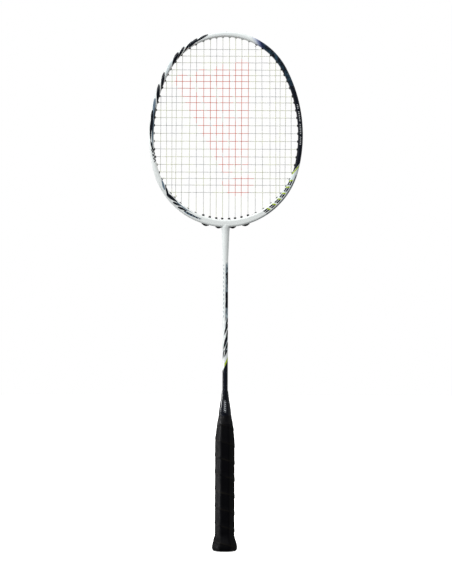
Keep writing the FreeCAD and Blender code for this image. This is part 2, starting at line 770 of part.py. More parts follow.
def make_joint_and_shaft(filled):
    profile = (("0", "Dims.shaft_top - Dims.spigot_length"),
               ("Dims.shaft_bore", "Dims.shaft_top - Dims.spigot_length"),
               ("Dims.shaft_bore", "Dims.shaft_top"),
               ("Dims.shaft_radius", "Dims.shaft_top"),
               ("Dims.cone_top_radius", "Dims.cone_flare_level"),
               ("(Dims.cone_top_radius * 2 + Dims.cone_flare_radius) / 3",
                "(Dims.cone_flare_level + Dims.head_bottom) / 2"),
               ("Dims.cone_flare_radius", "Dims.head_bottom"),
               ("Dims.cone_flare_radius", "Dims.head_bottom + Dims.hoop_round"),
               ("0", "Dims.head_bottom + Dims.hoop_round"))
    cone = cut("t_joint_cone", revolved("t_joint_blank", profile), filled)
    stub = doc.addObject("Part::Cylinder", "t_joint_stub")
    stub.setExpression("Radius", "Dims.stub_radius")
    stub.setExpression("Height", "Dims.stub_top - Dims.cone_flare_level")
    stub.setExpression("Placement.Base.z", "Dims.cone_flare_level")
    joint = doc.addObject("Part::Fuse", "t_joint")
    joint.Label = "t_joint"
    joint.Base = cone
    joint.Tool = stub
    node(joint)
    doc.recompute()
    node(revolved("shaft", (("Dims.shaft_bore", "Dims.shaft_foot"),
                            ("Dims.shaft_radius", "Dims.shaft_foot"),
                            ("Dims.shaft_radius", "Dims.shaft_top"),
                            ("Dims.shaft_bore", "Dims.shaft_top"))))
    return joint


# ---------------------------------------------------------------- handle

def octagon(name, width, level):
    """A bevelled section of the handle at a level, scaled from its full width."""
    sketch = doc.addObject("Sketcher::SketchObject", name)
    half = f"({width}) / 2"
    deep = f"({width}) / 2 * Dims.grip_depth / Dims.grip_width"
    bevel = f"({width}) * Dims.grip_bevel / Dims.grip_width"
    face = f"({half} - {bevel})"
    edge = f"({deep} - {bevel})"
    polygon(sketch, ((face, f"-({deep})"), (half, f"-{edge}"), (half, edge), (face, deep),
                     (f"-{face}", deep), (f"-({half})", edge), (f"-({half})", f"-{edge}"),
                     (f"-{face}", f"-({deep})")))
    sketch.setExpression("Placement.Base.z", level)
    return sketch


def octagon_loft(name, sections):
    loft = doc.addObject("Part::Loft", name)
    loft.Sections = [octagon(f"{name}_section_{i}", width, level)
                     for i, (width, level) in enumerate(sections, 1)]
    loft.Solid = True
    loft.Ruled = True
    return loft


# Share of the flare's height and the share of its swell that is left there.
FLARE_SHAPE = ((0.25, 0.8), (0.6, 0.3))


def flare(inset):
    """Widths and levels of the handle's flared butt and straight length, moved in by `inset`."""
    swell = "(Dims.flare_width - Dims.grip_width)"
    rise = "(Dims.flare_start - Dims.flare_level)"
    curve = tuple((f"Dims.grip_width + {swell} * {left} - {inset}",
                   f"Dims.flare_level + {rise} * {share}") for share, left in FLARE_SHAPE)
    return ((f"Dims.flare_width - {inset}", "Dims.flare_level"), *curve,
            (f"Dims.grip_width - {inset}", "Dims.flare_start"),
            (f"Dims.grip_width - {inset}", "Dims.grip_shoulder"))


CAP_INSIDE = (("Dims.cap_foot_radius - Dims.cap_wall", "Dims.cap_foot"),
              ("Dims.cap_band_radius - Dims.cap_wall", "Dims.cap_band"),
              ("Dims.shaft_radius", "Dims.core_top"))

# Share of the cone cap's height above the tape, and the share of its narrowing done there.
CAP_SHAPE = ((0.2, 0.14), (0.48, 0.37), (0.78, 0.69))


def make_cap():
    swell = "(Dims.cap_band_radius - Dims.cap_top_radius)"
    rise = "(Dims.cap_top - Dims.cap_band)"
    outside = [("Dims.cap_foot_radius", "Dims.cap_foot"),
               ("Dims.cap_band_radius", "Dims.cap_band")]
    for share, narrowing in CAP_SHAPE:
        outside.append((f"Dims.cap_band_radius - {swell} * {narrowing}",
                        f"Dims.cap_band + {rise} * {share}"))
    outside.append(("Dims.cap_top_radius", "Dims.cap_top"))
    outside.append(("Dims.shaft_radius", "Dims.cap_top"))
    return node(revolved("cone_cap", tuple(outside) + tuple(reversed(CAP_INSIDE))))


def make_core(tack):
    inset = "2 * Dims.grip_wall"
    foot = f"Dims.flare_width - Dims.foot_round - {inset}"
    sections = ((foot, "Dims.butt_plate"),) + flare(inset)
    sections += (("2 * Dims.cap_foot_radius", "Dims.cap_foot"),)
    lower = octagon_loft("handle_core_lower", sections)
    upper = revolved("handle_core_upper", (("0", "Dims.cap_foot"),) + CAP_INSIDE
                     + (("0", "Dims.core_top"),))
    whole = doc.addObject("Part::Fuse", "handle_core_solid")
    whole.Base = lower
    whole.Tool = upper
    shaft_hole = doc.addObject("Part::Cylinder", "handle_core_bore")
    shaft_hole.setExpression("Radius", "Dims.shaft_radius")
    shaft_hole.setExpression("Height", "Dims.cap_top - Dims.shaft_foot")
    shaft_hole.setExpression("Placement.Base.z", "Dims.shaft_foot")
    end_hole = doc.addObject("Part::Cylinder", "handle_core_end_bore")
    end_hole.setExpression("Radius", "Dims.end_bore")
    end_hole.setExpression("Height", "Dims.end_bore_top")
    bored = cut("handle_core_bored", whole, shaft_hole)
    hollow = cut("handle_core_hollow", bored, end_hole)
    return node(cut("handle_core", hollow, tack))


def make_butt_cap():
    wide = "Dims.butt_plate_width"
    plate = octagon_loft("butt_cap_plate", ((f"{wide} - 2 * Dims.butt_chamfer", "0"),
                                            (wide, "Dims.butt_chamfer"),
                                            (wide, "Dims.butt_plate")))
    plug = doc.addObject("Part::Cylinder", "butt_cap_plug")
    plug.setExpression("Radius", "Dims.end_bore")
    plug.setExpression("Height", "Dims.butt_plug_top - Dims.butt_plate / 2")
    plug.setExpression("Placement.Base.z", "Dims.butt_plate / 2")
    whole = doc.addObject("Part::Fuse", "butt_cap")
    whole.Label = "butt_cap"
    whole.Base = plate
    whole.Tool = plug
    return node(whole)


def make_tack():
    surface = dim("grip_depth") / 2 - dim("grip_wall")
    start = Vector(0, surface + dim("tack_head_thickness"), dim("tack_level"))
    head = dim("tack_head_thickness")
    profile = ((0, 0), (dim("tack_head"), 0), (dim("tack_head"), head),
               (dim("tack_shank"), head), (dim("tack_shank"), head + dim("tack_length")),
               (0, head + dim("tack_length")))
    return node(feature("grip_tack", turned(profile, start, -Y_AXIS)))


def make_grip(core, cap, butt, tack):
    sections = (("Dims.butt_width", "Dims.grip_foot"),
                ("Dims.flare_width - Dims.foot_round", "Dims.grip_foot + Dims.foot_round"))
    sections += flare("0")
    sections += (("Dims.grip_top_width", "Dims.grip_top"),)
    grip = octagon_loft("base_grip_outside", sections)
    inside = doc.addObject("Part::MultiFuse", "base_grip_inside")
    inside.Shapes = [core, cap, butt, tack]
    bore = doc.addObject("Part::Cylinder", "base_grip_bore")
    bore.setExpression("Radius", "Dims.end_bore + Dims.grip_wall")
    bore.setExpression("Height", "Dims.grip_top + Dims.grip_wall")
    clear = cut("base_grip_open", grip, bore)
    return node(cut("base_grip", clear, inside))


def make_tape(cap):
    inside = "Dims.cap_band_radius - Dims.cap_wall / 3"
    ring = revolved("finishing_tape_blank", (
        (inside, "Dims.grip_top"),
        ("Dims.grip_top_width / 2", "Dims.grip_top"),
        ("Dims.cap_band_radius + Dims.tape_thickness", "Dims.cap_band"),
        (inside, "Dims.cap_band")))
    return node(cut("finishing_tape", ring, cap))


def make_handle():
    tack = make_tack()
    cap = make_cap()
    core = make_core(tack)
    butt = make_butt_cap()
    doc.recompute()
    make_grip(core, cap, butt, tack)
    make_tape(cap)


# ---------------------------------------------------------------- build and export

def check_and_export():
    doc.recompute()
    failed = [item.Name for item in doc.Objects
              if "Invalid" in item.State or "Error" in item.State]
    if failed:
        raise RuntimeError(f"features failed: {failed}")
    for part in nodes:
        if part.Shape.isNull() or not part.Shape.isValid():
            raise RuntimeError(f"{part.Label} has no valid shape")
    os.makedirs(NODE_DIR, exist_ok=True)
    for part in nodes:
        part.Shape.exportStep(f"{NODE_DIR}/{part.Label}.step")
        solids = len(part.Shape.Solids)
        print(f"{part.Label}: {solids} solid(s), {part.Shape.Volume:.0f} mm3")


hoop_filled = make_hoop()
throat_joint = make_joint_and_shaft(hoop_filled)
make_saddles(hoop_filled.Shape, throat_joint.Shape)
make_grommets()
make_handle()
make_strings()
make_knots()
check_and_export()
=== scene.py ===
"""Looks for the badminton racket: painted frame, woven string bed, wrapped grip, studio, camera."""
import math

import bmesh
import bpy
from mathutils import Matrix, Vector, noise


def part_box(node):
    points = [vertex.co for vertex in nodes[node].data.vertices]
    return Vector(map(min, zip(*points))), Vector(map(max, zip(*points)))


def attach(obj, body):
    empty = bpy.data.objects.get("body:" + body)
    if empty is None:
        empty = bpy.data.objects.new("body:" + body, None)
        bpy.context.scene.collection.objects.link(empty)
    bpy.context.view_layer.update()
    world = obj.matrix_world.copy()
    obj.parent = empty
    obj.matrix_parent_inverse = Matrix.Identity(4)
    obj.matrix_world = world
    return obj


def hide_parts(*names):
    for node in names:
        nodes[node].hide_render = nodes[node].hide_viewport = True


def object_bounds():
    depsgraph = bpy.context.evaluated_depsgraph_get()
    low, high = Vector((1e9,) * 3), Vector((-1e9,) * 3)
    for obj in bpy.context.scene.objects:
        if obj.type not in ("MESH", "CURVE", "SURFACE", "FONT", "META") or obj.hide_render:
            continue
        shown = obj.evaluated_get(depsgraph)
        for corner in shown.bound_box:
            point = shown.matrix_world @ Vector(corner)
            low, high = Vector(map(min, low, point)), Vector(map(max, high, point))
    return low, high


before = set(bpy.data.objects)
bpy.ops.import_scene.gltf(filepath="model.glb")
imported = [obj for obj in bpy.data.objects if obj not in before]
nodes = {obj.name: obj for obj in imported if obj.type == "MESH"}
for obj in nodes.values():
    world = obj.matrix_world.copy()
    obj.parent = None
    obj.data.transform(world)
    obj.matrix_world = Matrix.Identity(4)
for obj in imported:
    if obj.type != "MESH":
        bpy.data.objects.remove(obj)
cad_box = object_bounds()

MM = 0.001
BODY = "root"

# Hoop outline, millimetres: its arcs follow from these.
HOOP_LOW, HOOP_HIGH = (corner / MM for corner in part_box("head_frame"))
HALF_WIDTH = HOOP_HIGH.x
HOOP_TOP = HOOP_HIGH.z
HOOP_BOTTOM = HOOP_LOW.z
WIDE_LEVEL = 540.4
SIDE_RADIUS = 186.3

# Handle, millimetres.
GRIP_WIDTH = 25.4
GRIP_DEPTH = 23.4
GRIP_BEVEL = 7.2
GRIP_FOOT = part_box("base_grip")[0].z / MM
GRIP_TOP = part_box("base_grip")[1].z / MM
GRIP_SHOULDER = 142.0
GRIP_TOP_WIDTH = 20.5
FLARE_START = 23.0
FLARE_LEVEL = 5.0
FLARE_WIDTH = 33.0
FOOT_WIDTH = 27.0
GRIP_WALL = 1.6
BAND_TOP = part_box("finishing_tape")[1].z / MM
CAP_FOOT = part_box("cone_cap")[0].z / MM
CAP_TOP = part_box("cone_cap")[1].z / MM
CAP_FOOT_RADIUS = 9.2
CAP_BAND_RADIUS = 8.35
CAP_TOP_RADIUS = 3.9
CAP_BORE = 3.55
CAP_WALL = 1.1

# Colours, linear.
WHITE_PAINT = (0.87, 0.91, 0.90)
PALE_BLUE = (0.56, 0.66, 0.70)
GREY_BLUE = (0.14, 0.20, 0.26)
SLATE = (0.24, 0.30, 0.34)
LAVENDER = (0.25, 0.31, 0.55)
NAVY = (0.011, 0.017, 0.072)
TEAL = (0.020, 0.052, 0.082)
INK = (0.004, 0.006, 0.012)
LIME = (0.40, 0.54, 0.014)
STENCIL_RED = (0.72, 0.085, 0.018)
STRING_GREY = (0.55, 0.56, 0.55)
STRING_CREAM = (0.66, 0.69, 0.48)
GROMMET_BLACK = (0.007, 0.008, 0.010)
GROMMET_PALE = (0.62, 0.66, 0.64)
SADDLE_BLACK = (0.010, 0.011, 0.013)
BUTT_BLACK = (0.012, 0.012, 0.013)
CAP_BLACK = (0.002, 0.003, 0.007)
TICK_SILVER = (0.62, 0.65, 0.68)
TAPE_BLACK = (0.0030, 0.0030, 0.0045)
TAPE_DUST = (0.010, 0.009, 0.008)
GRIP_BLACK = (0.0006, 0.0006, 0.0014)
GRIP_CLOUD = (0.0016, 0.0016, 0.0024)
# The lighter brown of the painted highlight along the grip's spiral edges.
GRIP_EDGE_SHEEN = (0.014, 0.012, 0.009)
WOOD = (0.52, 0.35, 0.19)
WOOD_RING = (0.66, 0.48, 0.29)
TACK_STEEL = (0.62, 0.62, 0.60)
FLOOR_WHITE = (0.9, 0.9, 0.9)
UNPAINTED = (0.5, 0.5, 0.5)


# ---------------------------------------------------------------- fields: numbers over a surface

class Field:
    """A number that varies over a surface, as the output of math nodes."""

    def __init__(self, tree, socket):
        self.tree = tree
        self.socket = socket

    def math(self, operation, *others):
        node = self.tree.nodes.new("ShaderNodeMath")
        node.operation = operation
        for slot, item in zip(node.inputs, (self,) + others):
            feed(self.tree, item, slot)
        return Field(self.tree, node.outputs[0])

    def __add__(self, other):
        return self.math("ADD", other)

    def __sub__(self, other):
        return self.math("SUBTRACT", other)

    def __mul__(self, other):
        return self.math("MULTIPLY", other)

    def __truediv__(self, other):
        return self.math("DIVIDE", other)

    def times_plus(self, factor, addend):
        return self.math("MULTIPLY_ADD", factor, addend)

    def size(self):
        return self.math("ABSOLUTE")

    def above(self, limit):
        return self.math("GREATER_THAN", limit)

    def below(self, limit):
        return self.math("LESS_THAN", limit)

    def either(self, other):
        """The greater of two masks."""
        return self.math("MAXIMUM", other)

    def both(self, other):
        """The smaller of two masks."""
        return self.math("MINIMUM", other)

    def turned_off(self):
        return self.times_plus(-1, 1)

    def wave(self, pitch):
        """A triangle wave from 0 to half the pitch."""
        return self.math("PINGPONG", pitch / 2)

    def ramp(self, low, high):
        """0 at low, 1 at high, straight between and held outside."""
        node = self.tree.nodes.new("ShaderNodeMapRange")
        feed(self.tree, self, node.inputs["Value"])
        node.inputs["From Min"].default_value = low
        node.inputs["From Max"].default_value = high
        return Field(self.tree, node.outputs["Result"])

    def within(self, low, high, soft=0.3):
        """1 between low and high, with soft edges."""
        return self.ramp(low - soft, low).both(self.ramp(high + soft, high))


def feed(tree, item, slot):
    if isinstance(item, Field):
        tree.links.new(item.socket, slot)
    else:
        slot.default_value = item


def blend(first, second, share):
    """first where share is 0, second where it is 1."""
    return (second - first).times_plus(share, first)


def place(tree):
    """The surface point in millimetres: across, through, up."""
    coordinates = tree.nodes.new("ShaderNodeTexCoord")
    split = tree.nodes.new("ShaderNodeSeparateXYZ")
    tree.links.new(coordinates.outputs["Object"], split.inputs[0])
    return [Field(tree, output) * (1 / MM) for output in split.outputs]


def vector_of(tree, parts):
    node = tree.nodes.new("ShaderNodeCombineXYZ")
    for slot, part in zip(node.inputs, parts):
        feed(tree, part, slot)
    return node.outputs[0]


def grain(tree, parts, scale, detail=2.0):
    """Smooth noise from 0 to 1 over any three fields or numbers."""
    node = tree.nodes.new("ShaderNodeTexNoise")
    tree.links.new(vector_of(tree, parts), node.inputs["Vector"])
    node.inputs["Scale"].default_value = scale
    node.inputs["Detail"].default_value = detail
    return Field(tree, node.outputs["Fac"])


def pebbles(tree, parts, scale):
    """Distance from the nearest of many scattered points."""
    node = tree.nodes.new("ShaderNodeTexVoronoi")
    tree.links.new(vector_of(tree, parts), node.inputs["Vector"])
    node.inputs["Scale"].default_value = scale
    return Field(tree, node.outputs["Distance"])


class Coats:
    """Colours laid over each other, each through its own mask."""

    def __init__(self, tree, colour):
        self.tree = tree
        self.colour = colour

    def add(self, mask, colour):
        mix = self.tree.nodes.new("ShaderNodeMix")
        mix.data_type = "RGBA"
        feed(self.tree, mask, mix.inputs[0])
        for slot, value in ((mix.inputs[6], self.colour), (mix.inputs[7], colour)):
            if isinstance(value, tuple):
                slot.default_value = (*value, 1)
            else:
                self.tree.links.new(value, slot)
        self.colour = mix.outputs[2]


class Finish:
    """A principled material with its node tree."""

    def __init__(self, name, colour=UNPAINTED, **sockets):
        self.material = bpy.data.materials.new(name)
        self.material.use_nodes = True
        self.tree = self.material.node_tree
        self.shader = self.tree.nodes["Principled BSDF"]
        self.shader.inputs["Base Color"].default_value = (*colour, 1)
        for socket, value in sockets.items():
            self.shader.inputs[socket.replace("_", " ")].default_value = value

    def paint(self, coats):
        self.tree.links.new(coats.colour, self.shader.inputs["Base Color"])

    def rough(self, field):
        self.tree.links.new(field.socket, self.shader.inputs["Roughness"])

    def relief(self, height, depth):
        """Bump from a height field whose 0 to 1 is `depth` millimetres."""
        node = self.tree.nodes.new("ShaderNodeBump")
        node.inputs["Distance"].default_value = depth * MM
        self.tree.links.new(height.socket, node.inputs["Height"])
        self.tree.links.new(node.outputs[0], self.shader.inputs["Normal"])


# ---------------------------------------------------------------- painted frame

class Arcs:
    """The hoop's outer outline: radii, centres, joints and lengths of its arcs."""

    def __init__(self):
        self.side_x = HALF_WIDTH - SIDE_RADIUS
        above = HOOP_TOP - WIDE_LEVEL
        below = WIDE_LEVEL - HOOP_BOTTOM
        reach = SIDE_RADIUS ** 2 - self.side_x ** 2
        self.top_radius = (reach - above ** 2) / (2 * (SIDE_RADIUS - above))
        self.low_radius = (reach - below ** 2) / (2 * (SIDE_RADIUS - below))
        self.top_z = HOOP_TOP - self.top_radius
        self.low_z = HOOP_BOTTOM + self.low_radius
        self.top_turn = math.atan2(-self.side_x, self.top_z - WIDE_LEVEL)
        self.low_turn = math.atan2(-self.side_x, self.low_z - WIDE_LEVEL)
        top_length = self.top_radius * self.top_turn
        side_length = SIDE_RADIUS * (self.low_turn - self.top_turn)
        self.side_start = top_length
        low_length = self.low_radius * (math.pi - self.low_turn)
        self.half_length = top_length + side_length + low_length


def hoop_place(tree):
    """Across, arc length from the top of the hoop, and depth from its outer edge."""
    arcs = Arcs()
    across, _, up = place(tree)
    side = across.size()

    def polar(x, z):
        out = side - x
        rise = up - z
        distance = (out * out + rise * rise).math("SQRT")
        return out.math("ARCTAN2", rise), distance

    top_turn, top_distance = polar(0, arcs.top_z)
    side_turn, side_distance = polar(arcs.side_x, WIDE_LEVEL)
    low_turn, low_distance = polar(0, arcs.low_z)
    is_top = side_turn.below(arcs.top_turn)
    is_low = side_turn.above(arcs.low_turn)
    side_run = side_turn.times_plus(SIDE_RADIUS, arcs.side_start - SIDE_RADIUS * arcs.top_turn)
    low_run = low_turn.times_plus(arcs.low_radius, arcs.half_length - arcs.low_radius * math.pi)
    run = blend(blend(side_run, top_turn * arcs.top_radius, is_top), low_run, is_low)
    depth = blend(blend(side_distance.times_plus(-1, SIDE_RADIUS),
                        top_distance.times_plus(-1, arcs.top_radius), is_top),
                  low_distance.times_plus(-1, arcs.low_radius), is_low)
    return across, run, depth


# How much wider than its nominal width a stroke's curve is drawn.
SWELL = 1.45


def slash(run, depth, start, end, width, soft=0.3):
    """A brush stroke between two (run, depth) points: a round start and a long pointed end."""
    step = (end[0] - start[0], end[1] - start[1])
    length = math.hypot(*step)
    shift = -(start[0] * step[0] + start[1] * step[1]) / length ** 2
    along = run.times_plus(step[0] / length ** 2, depth.times_plus(step[1] / length ** 2, shift))
    offset = (start[1] * step[0] - start[0] * step[1]) / length
    off = run.times_plus(step[1] / length, depth.times_plus(-step[0] / length, offset))
    swell = along.either(0).math("SQRT") * along.turned_off() * (width * SWELL)
    return (swell - off.size()).ramp(-soft / 2, soft / 2)


def strokes(run, depth, table):
    """All strokes of a table of (start, end, width) in one mask."""
    mask = None
    for start, end, width in table:
        stroke = slash(run, depth, start, end, width)
        mask = stroke if mask is None else mask.either(stroke)
    return mask


# Left half's brush strokes: (run, depth) of the blunt start, (run, depth) of the point, and width.
LEFT_INK = (
    ((24, 0.6), (47, 4.6), 2.8), ((39, 0.8), (56, 6.0), 3.6), ((47, 1.0), (67, 6.6), 2.4),
    ((59, 0.8), (78, 6.8), 3.0), ((70, 1.2), (92, 7.2), 4.2), ((102, 0.6), (130, 7.8), 3.6),
    ((119, 0.7), (150, 8.2), 3.8), ((150, 5.0), (172, 6.2), 1.5), ((154, 1.7), (186, 4.6), 3.0),
    ((168, 1.9), (198, 2.4), 2.4), ((195, 2.2), (212, 5.2), 2.0), ((274, 3.2), (256, 8.6), 2.4),
    ((269, 3.4), (288, 7.2), 4.0), ((283, 2.8), (295, 6.2), 2.6), ((292, 2.8), (306, 6.2), 2.6),
)
LEFT_GREY = (
    ((46, 0.8), (63, 6.0), 2.4), ((138, 1.6), (168, 5.4), 3.2), ((165, 5.4), (204, 4.2), 2.2),
    ((264, 3.8), (244, 8.2), 2.4), ((302, 3.4), (330, 5.0), 2.4), ((284, 6.2), (316, 7.4), 1.3),
)
# Painted shade: a pale blue-grey stroke over the inner half of the left rim, from run 84 to 112, in
# place of the shade on the rim's inner side.
LEFT_PAINTED_SHADE = (
    ((84, 2.2), (112, 6.2), 4.0),
)
PAINTED_SHADE_STRENGTH = 0.6

# Broken lattice between the strokes: a long taper and a short speckled stretch, millimetres.
LATTICE_PITCH = 4.7
LATTICE_SLANT = 1.2
LATTICE_SHARE = 0.36
TAPER_RUN = (204, 223)
TAPER_START = 205
TAPER_SLOPE = 0.10
TAPER_INNER_EDGE = (7.0, 6.4)
SPECKLE_RUN = (300, 325)
SPECKLE_DEPTH = (3.3, 5.2)


def hatch(run, depth, pitch, slant, share):
    """Slanted parallel ticks along the hoop; share is the painted part of the pitch."""
    lines = run.times_plus(1, depth * slant).wave(pitch)
    edge = pitch / 2 * (1 - share)
    return lines.ramp(edge - 0.1, edge + 0.1)


def lattice(run, depth):
    rising = hatch(run, depth, LATTICE_PITCH, LATTICE_SLANT, LATTICE_SHARE)
    falling = hatch(run, depth, LATTICE_PITCH, -LATTICE_SLANT, LATTICE_SHARE)
    below_taper = (depth - (run - TAPER_START) * TAPER_SLOPE).ramp(1.6, 2.2)
    taper = run.within(*TAPER_RUN, 1).both(below_taper)
    speckle = run.within(*SPECKLE_RUN, 3).both(depth.within(*SPECKLE_DEPTH))
    shown = taper.both(depth.ramp(*TAPER_INNER_EDGE)).either(speckle)
    return rising.either(falling).both(shown)


def left_graphics(coats, left, run, depth):
    # Painted shade on the left rim's inner half, under the printed strokes.
    coats.add(strokes(run, depth, LEFT_PAINTED_SHADE).both(left) * PAINTED_SHADE_STRENGTH, PALE_BLUE)
    coats.add(strokes(run, depth, LEFT_GREY).both(left), GREY_BLUE)
    coats.add(lattice(run, depth).both(left), INK)
    coats.add(strokes(run, depth, LEFT_INK).both(left), INK)


# Right half: a dark run that ends in a lime edge, then a pale run with bars and an edging.
# Runs and depths are in millimetres; a hatch is its pitch, slant and painted share.
DARK_START = 37.0
DARK_LEAN = 1.4
MOTTLE_END = 128.0
LIME_RUN = 223.6
LIME_SLANT = 2.15
LIME_WIDTH = 3.4
LIME_DEPTH = (0.9, 6.6)
PALE_FADE = (300, 262)
PALE_SHARE = 0.55
TICK_RUN = (146, 199)
TICK_DEPTH = (2.5, 3.7)
TICK_HATCH = (2.4, 0.5, 0.45)
TICK_GROUP = 17
EDGING_RUN = (240, 305)
EDGING_DEPTH = (0.5, 1.7)
EDGING_HATCH = (1.9, 1.2, 0.74)
RULE_RUN = (300, 330)
RULE_DEPTH = (0.3, 0.9)
BAR_START = 245.0
BAR_PITCH = 10.0
BAR_COUNT = 6
BAR_SLANT = -0.55
BAR_LENGTH = (1.8, 8.2)
BAR_DEPTH = (2.9, 6.9)
BAR_SPLIT = (4.6, 5.1)
BAR_LIME_LENGTH = (0.2, 2.2)
BAR_LIME_DEPTH = (2.9, 7.1)


def dark_run(tree, coats, right, run, depth):
    """White turns through lavender and navy to black, mottled with teal, up to the lime edge."""
    fade = run - depth * DARK_LEAN
    before_lime = run - depth * LIME_SLANT
    dark = fade.ramp(DARK_START + 8, DARK_START + 17)
    ended = before_lime.ramp(LIME_RUN - 0.6, LIME_RUN - 1.0)
    past = before_lime.ramp(LIME_RUN, LIME_RUN + 1)
    coats.add(past.both(run.ramp(*PALE_FADE)).both(right) * PALE_SHARE, PALE_BLUE)
    coats.add(fade.ramp(DARK_START - 6, DARK_START + 6).both(ended).both(right), LAVENDER)
    coats.add(fade.ramp(DARK_START, DARK_START + 9).both(ended).both(right), NAVY)
    coats.add(dark.both(ended).both(right), INK)
    blotches = grain(tree, (run * 0.16, depth * 0.22, 0.0), 1.0, 3).ramp(0.42, 0.60)
    mottled = blotches.both(run.ramp(MOTTLE_END, MOTTLE_END - 22)).both(dark).both(right)
    coats.add(mottled, TEAL)
    streak = grain(tree, (run * 0.5, depth * 0.3, 4.0), 1.0, 2).ramp(0.60, 0.72)
    coats.add(streak.both(mottled) * 0.6, GREY_BLUE)


def dark_run_marks(coats, right, run, depth):
    """Groups of pale ticks on the dark run, and the lime edge that ends it."""
    place_of_ticks = run.within(*TICK_RUN).both(depth.within(*TICK_DEPTH))
    ticks = hatch(run, depth, *TICK_HATCH).both(place_of_ticks)
    groups = run.wave(TICK_GROUP).ramp(1.6, 2.0)
    coats.add(ticks.both(groups).both(right) * 0.6, WHITE_PAINT)
    edge = (run - depth * LIME_SLANT).within(LIME_RUN, LIME_RUN + LIME_WIDTH, 0.2)
    coats.add(edge.both(depth.within(*LIME_DEPTH)).both(right), LIME)


def edging(coats, right, run, depth):
    """A hatched line near the outer edge that runs out into a thin grey rule."""
    place_of_edging = run.within(*EDGING_RUN).both(depth.within(*EDGING_DEPTH))
    coats.add(hatch(run, depth, *EDGING_HATCH).both(place_of_edging).both(right), INK)
    rule = depth.within(*RULE_DEPTH, 0.2).both(run.within(*RULE_RUN, 4)).both(right)
    coats.add(rule * 0.55, GREY_BLUE)


def bars(coats, right, run, depth):
    """Pairs of plain slanted bars with lime between the pairs."""
    slanted = run + depth * BAR_SLANT
    local = (slanted - BAR_START).math("MODULO", BAR_PITCH)
    bar_end = BAR_START + BAR_PITCH * BAR_COUNT
    zone = slanted.within(BAR_START, bar_end, 0.1).both(right)
    body = local.within(*BAR_LENGTH, 0.1).both(depth.within(*BAR_DEPTH, 0.1))
    split = depth.within(*BAR_SPLIT, 0.1)
    coats.add(body.both(split.turned_off()).both(zone), INK)
    spacer = local.within(*BAR_LIME_LENGTH, 0.1).both(depth.within(*BAR_LIME_DEPTH, 0.1))
    coats.add(spacer.both(zone), LIME)


def right_graphics(tree, coats, right, run, depth):
    dark_run(tree, coats, right, run, depth)
    dark_run_marks(coats, right, run, depth)
    edging(coats, right, run, depth)
    bars(coats, right, run, depth)


def lacquer(finish):
    """The clear gloss over the paint, with the faintest unevenness."""
    across, through, up = place(finish.tree)
    waves = grain(finish.tree, (across, through, up), 0.22, 1)
    finish.relief(waves, 0.03)


# The paint's gloss, and the stretch over which the top of the hoop gets a touch of blue as painted
# shade.
PAINT_GLOSS = {"Roughness": 0.35, "Specular_IOR_Level": 0.12, "Coat_Weight": 0.2,
               "Coat_Roughness": 0.06}
TOP_SHADE_RUN = (60, 20)


def frame_paint():
    finish = Finish("frame_paint", **PAINT_GLOSS)
    tree = finish.tree
    across, run, depth = hoop_place(tree)
    coats = Coats(tree, WHITE_PAINT)
    # Painted shade: the top of the hoop tinted a touch blue-grey.
    coats.add(run.ramp(*TOP_SHADE_RUN) * 0.1, PALE_BLUE)
    left_graphics(coats, across.below(0), run, depth)
    right_graphics(tree, coats, across.above(0), run, depth)
    finish.paint(coats)
    lacquer(finish)
    return finish.material


def joint_paint():
    finish = Finish("joint_paint", **PAINT_GLOSS)
    across, through, up = place(finish.tree)
    coats = Coats(finish.tree, WHITE_PAINT)
    dust = grain(finish.tree, (across, through, up), 0.06, 2).ramp(0.35, 0.75)
    coats.add(dust * 0.12, PALE_BLUE)
    finish.paint(coats)
    lacquer(finish)
    return finish.material


# Shaft strokes, (across, level) of the blunt start and of the point, and width, in millimetres.
SHAFT_INK = (
    ((3.8, 304), (0.2, 291), 2.0), ((3.4, 296), (-1.8, 280), 2.3), ((3.8, 288), (0.6, 274), 2.0),
    ((2.6, 280), (-2.8, 261), 2.9), ((3.8, 272), (-1.0, 257), 2.2), ((2.6, 262), (-1.6, 252), 1.9),
    ((-1.4, 262), (-3.2, 249), 1.4),
)
SHAFT_GREY = (
    ((4.0, 309), (-0.4, 288), 1.8), ((4.0, 283), (0.0, 264), 1.6), ((3.4, 266), (-1.6, 250), 1.6),
)
# Where the shaft turns black with a lime flash, and its patterned panel above, millimetres.
BLACK_LEVEL = 241.3
BLACK_SLANT = 2.0
FLASH_WIDTH = 4.2
FLASH_START = -0.9
PANEL_RANGE = (303.0, 372.0)
LOW_PATCH = (317, 336)
HIGH_PATCH = (348, 362)
DASH_PITCH = 5.6
DASH_ACROSS = (-2.7, -1.8)


